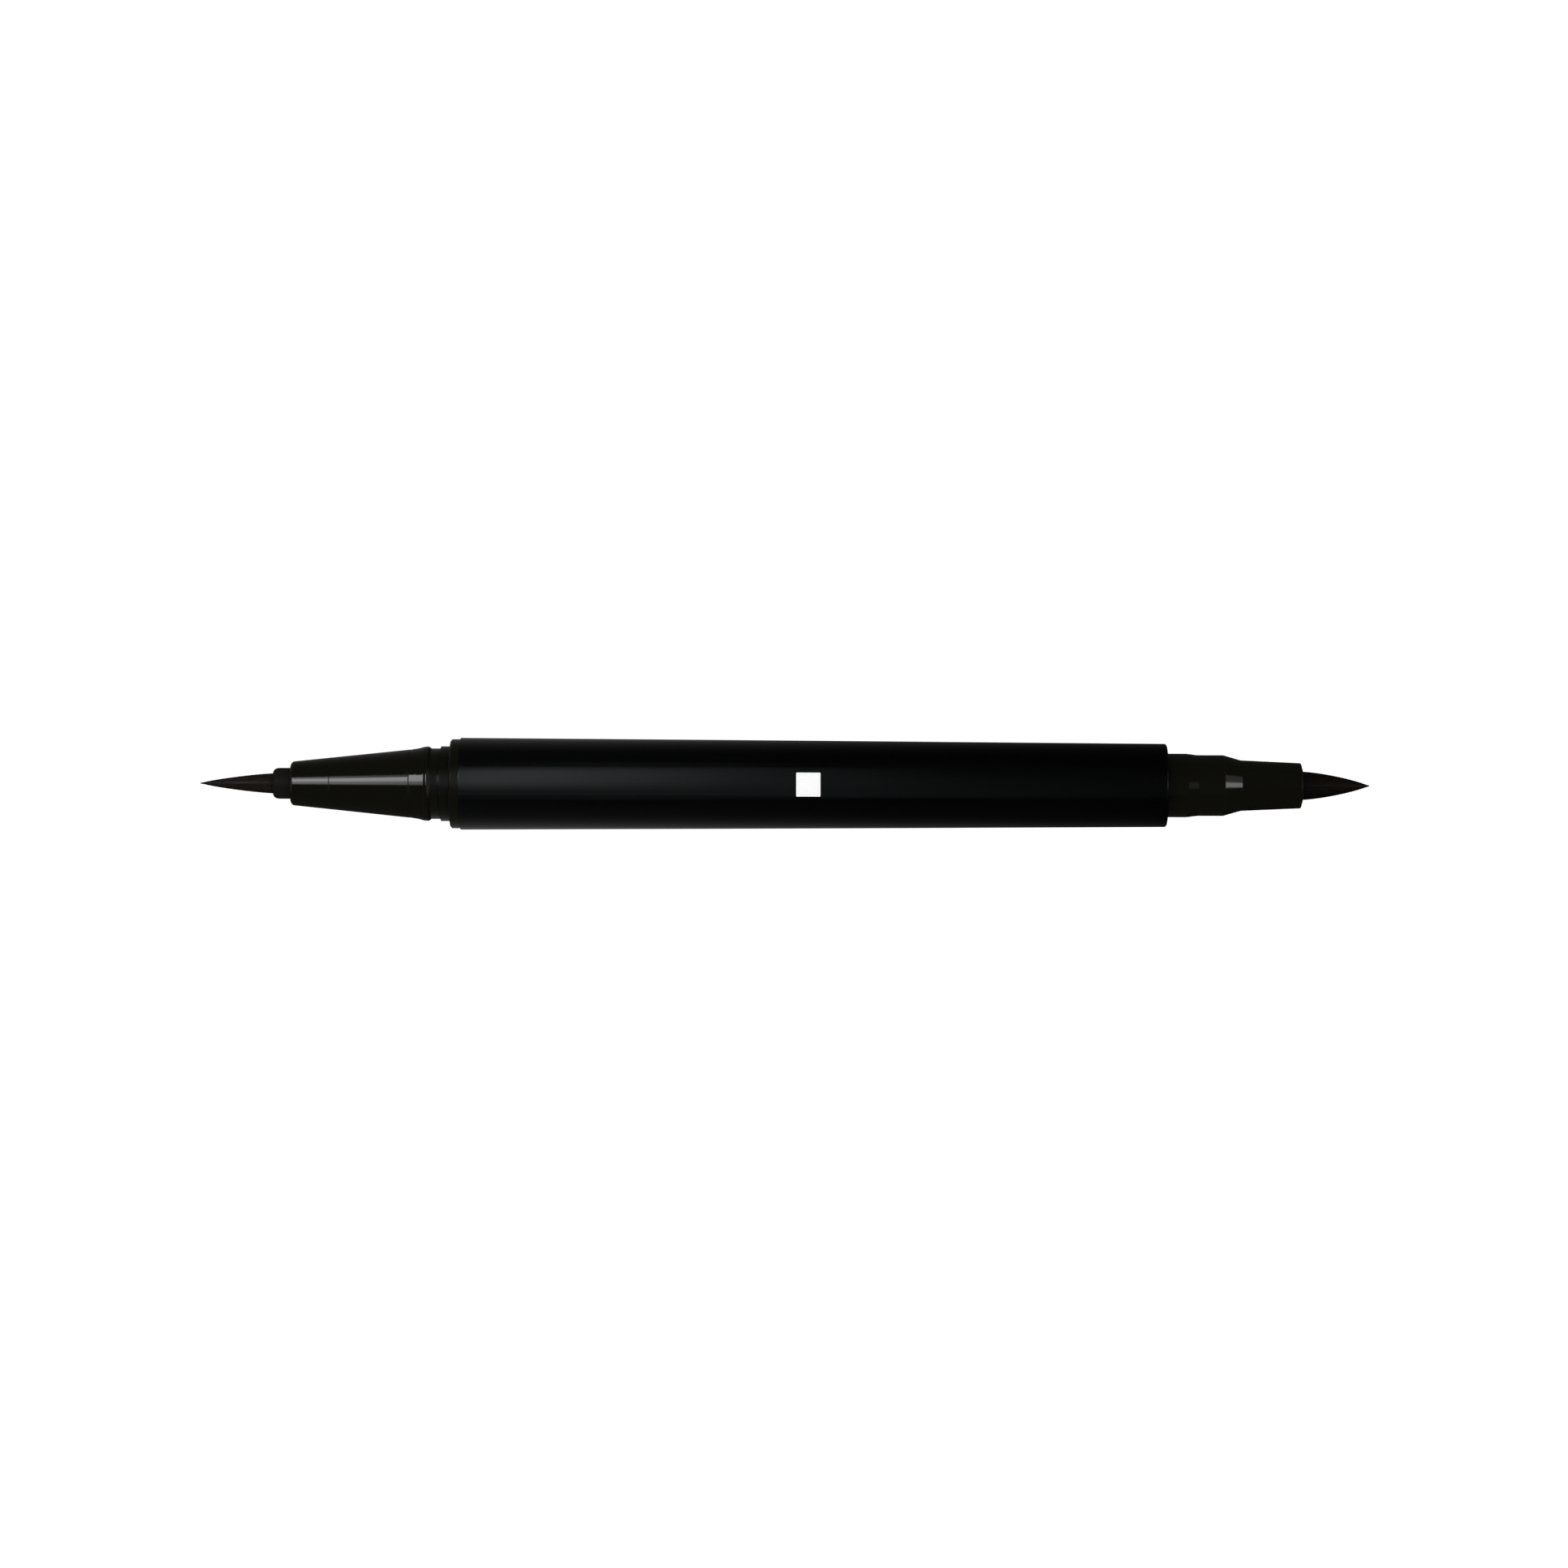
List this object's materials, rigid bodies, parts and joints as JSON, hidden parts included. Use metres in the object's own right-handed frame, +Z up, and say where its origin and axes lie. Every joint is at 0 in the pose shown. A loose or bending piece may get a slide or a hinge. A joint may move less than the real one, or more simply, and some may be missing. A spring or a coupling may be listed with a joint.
{
  "type": "brush pen",
  "caption": "Slim double-ended brush pen with its caps off: fine brush in a long conical grip at one end, bold brush in a stepped nose at the other, and an ink supply for each.",
  "frame": {"origin": "on the pen's vertical mid-plane, halfway along its length and level with the barrel's lowest point", "axes": "+X along the pen towards the bold brush, +Z up out of the label, +Y across the pen"},
  "size_m": [0.1406, 0.011, 0.0111],
  "materials": {
    "barrel_plastic": "moulded black, soft gloss, fine handling marks",
    "section_plastic": "moulded warm black, satin",
    "collar_plastic": "moulded warm black, finer grain and less shine than the sections",
    "label_paper": "white sticker with a thin grey frame and no print",
    "bristle_nylon": "tapered black nylon bristles",
    "inner_plastic": "moulded dark grey",
    "clear_plastic": "milky translucent",
    "film_plastic": "thin clear film",
    "seal_rubber": "matte black",
    "feed_fibre": "bonded polyester fibre, fine lengthwise grain",
    "reservoir_fibre": "bundled polyester fibre, open lengthwise grain",
    "steel_pipe": "drawn stainless tube",
    "ball_steel": "polished steel ball"
  },
  "bodies": {
    "pen": {"barrel": "barrel_plastic", "label": "label_paper", "divider_plug": "inner_plastic", "fine_section": "section_plastic", "fine_section_seal": "seal_rubber", "fine_brush_holder": "collar_plastic", "fine_bristle_root": "bristle_nylon", "fine_ink_pipe": "steel_pipe", "fine_feed_rod": "feed_fibre", "ink_collector": "clear_plastic", "tank_seal": "seal_rubber", "ink_tank": "clear_plastic", "bold_section": "section_plastic", "bold_section_seal": "seal_rubber", "bold_brush_tube": "collar_plastic", "bold_bristle_root": "bristle_nylon", "bold_ink_pipe": "steel_pipe", "bold_feed_rod": "feed_fibre", "bold_reservoir": "reservoir_fibre", "reservoir_film": "film_plastic"},
    "fine_brush": {"fine_bristle_tip": "bristle_nylon"},
    "bold_brush": {"bold_bristle_tip": "bristle_nylon"},
    "ball": {"mixing_ball": "ball_steel"}
  },
  "joints": [
    {"name": "fine_brush_flex", "type": "hinge", "parent": "pen", "child": "fine_brush", "pos_m": [-0.06155, 0, 0.00554], "axis": [0, 0, 1], "range_deg": [-25, 25], "stiffness_Nm_per_rad": 0.003},
    {"name": "bold_brush_flex", "type": "hinge", "parent": "pen", "child": "bold_brush", "pos_m": [0.06225, 0, 0.00554], "axis": [0, 0, 1], "range_deg": [-25, 25], "stiffness_Nm_per_rad": 0.003},
    {"name": "mixing_ball_roll", "type": "slide", "parent": "pen", "child": "ball", "axis": [1, 0, 0], "range_m": [-0.0297, 0]}
  ]
}
